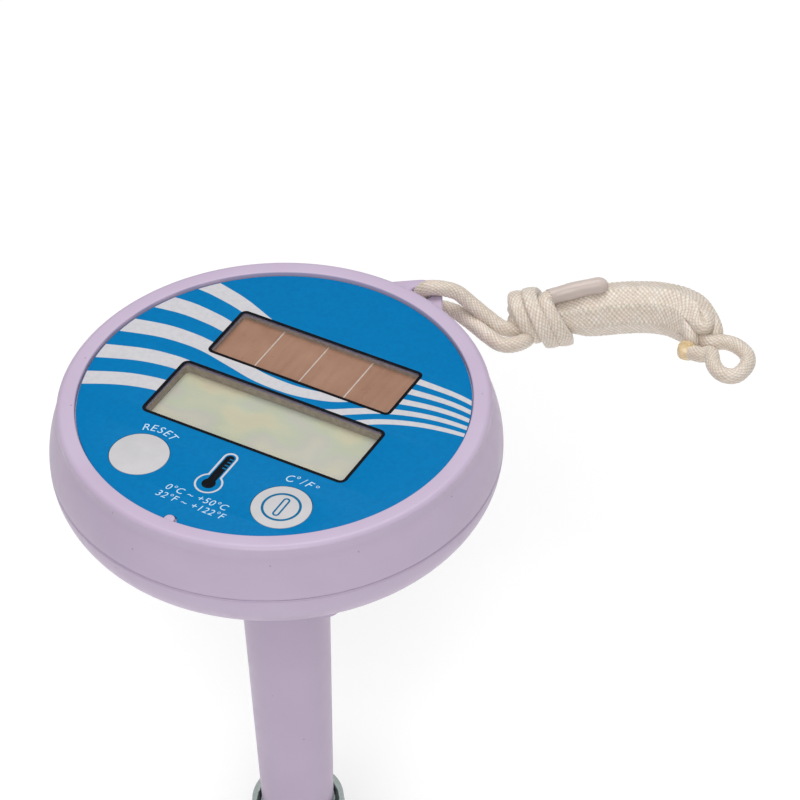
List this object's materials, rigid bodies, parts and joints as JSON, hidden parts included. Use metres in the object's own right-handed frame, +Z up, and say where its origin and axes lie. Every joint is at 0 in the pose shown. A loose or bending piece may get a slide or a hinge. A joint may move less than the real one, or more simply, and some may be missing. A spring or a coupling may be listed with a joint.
{
  "type": "floating pool thermometer",
  "caption": "Floating solar pool thermometer with a round sealed head, display and key panel, weighted stem, clear screw-on end cap and a tether cord.",
  "frame": {"origin": "on the stem's axis at the waterline, where the water holds the float up", "axes": "+Z up along the stem and out of the panel; +X along the panel's lettering; +Y from the keys towards the tether lug"},
  "size_m": [0.139, 0.147, 0.172],
  "materials": {
    "lavender_shell": "satin moulded ABS",
    "label_film": "printed film, semi-gloss",
    "key_white": "satin moulded",
    "clear_window": "clear polycarbonate",
    "smoke_clear_cap": "clear grey-green polycarbonate",
    "solar_silicon": "amorphous silicon on glass",
    "lcd_glass": "liquid-crystal glass",
    "inner_frame": "moulded, natural",
    "black_rubber": "moulded",
    "board_green": "solder-masked laminate",
    "black_resin": "epoxy or moulded case",
    "steel": "bright",
    "wire_red": "extruded",
    "wire_black": "extruded",
    "ivory_cord": "braided, slight sheen",
    "melted_end": "melted polymer",
    "clear_sleeve": "shrunk sleeve"
  },
  "bodies": {
    "root": {"upper_housing": "lavender_shell", "lower_housing": "lavender_shell", "stem_tube": "lavender_shell", "housing_seal": "black_rubber", "label_overlay": "label_film", "solar_window": "clear_window", "display_window": "clear_window", "solar_cell": "solar_silicon", "lcd_holder": "inner_frame", "lcd_panel": "lcd_glass", "zebra_connector_upper": "black_rubber", "zebra_connector_lower": "black_rubber", "reset_switch": "black_resin", "unit_switch": "black_resin", "circuit_board": "board_green", "controller_blob": "black_resin", "clock_crystal": "steel", "storage_capacitor": "black_resin", "sensor_lead_red": "wire_red", "sensor_lead_black": "wire_black", "solar_lead_red": "wire_red", "solar_lead_black": "wire_black", "stem_gasket": "black_rubber", "ballast_weight": "steel", "end_plug": "black_resin", "probe_sheath": "steel", "cord_upper_strand": "ivory_cord", "cord_lower_strand": "ivory_cord", "cord_hank": "ivory_cord", "cord_end_loop": "ivory_cord", "cord_end_bead": "melted_end", "cord_end_sleeve": "clear_sleeve", "housing_screw_1": "steel", "housing_screw_2": "steel", "housing_screw_3": "steel", "housing_screw_4": "steel", "board_screw_1": "steel", "board_screw_2": "steel", "board_screw_3": "steel"},
    "reset_button": {"reset_button": "key_white"},
    "unit_button": {"unit_button": "key_white"},
    "reset_plunger": {"reset_plunger": "inner_frame"},
    "unit_plunger": {"unit_plunger": "inner_frame"},
    "cap_seal": {"cap_seal": "black_rubber"},
    "end_cap": {"end_cap": "smoke_clear_cap"}
  },
  "joints": [
    {"name": "reset_press", "type": "slide", "parent": "root", "child": "reset_button", "axis": [0, 0, -1], "range_m": [0, 0.0005], "stiffness_N_per_m": 200},
    {"name": "reset_plunger_travel", "type": "slide", "parent": "root", "child": "reset_plunger", "axis": [0, 0, -1], "range_m": [0, 0.00051]},
    {"name": "unit_press", "type": "slide", "parent": "root", "child": "unit_button", "axis": [0, 0, -1], "range_m": [0, 0.0005], "stiffness_N_per_m": 200},
    {"name": "unit_plunger_travel", "type": "slide", "parent": "root", "child": "unit_plunger", "axis": [0, 0, -1], "range_m": [0, 0.00051]},
    {"name": "cap_draw", "type": "slide", "parent": "root", "child": "cap_seal", "axis": [0, 0, -1], "range_m": [0, 0.0045]},
    {"name": "cap_unscrew", "type": "hinge", "parent": "cap_seal", "child": "end_cap", "pos_m": [0, 0, -0.12], "axis": [0, 0, -1], "range_deg": [0, 541]}
  ],
  "couplings": [
    {"joint": "reset_plunger_travel", "follows": "reset_press", "ratio": 1},
    {"joint": "unit_plunger_travel", "follows": "unit_press", "ratio": 1},
    {"joint": "cap_unscrew", "follows": "cap_draw", "rad_per_m": 2094.4}
  ]
}
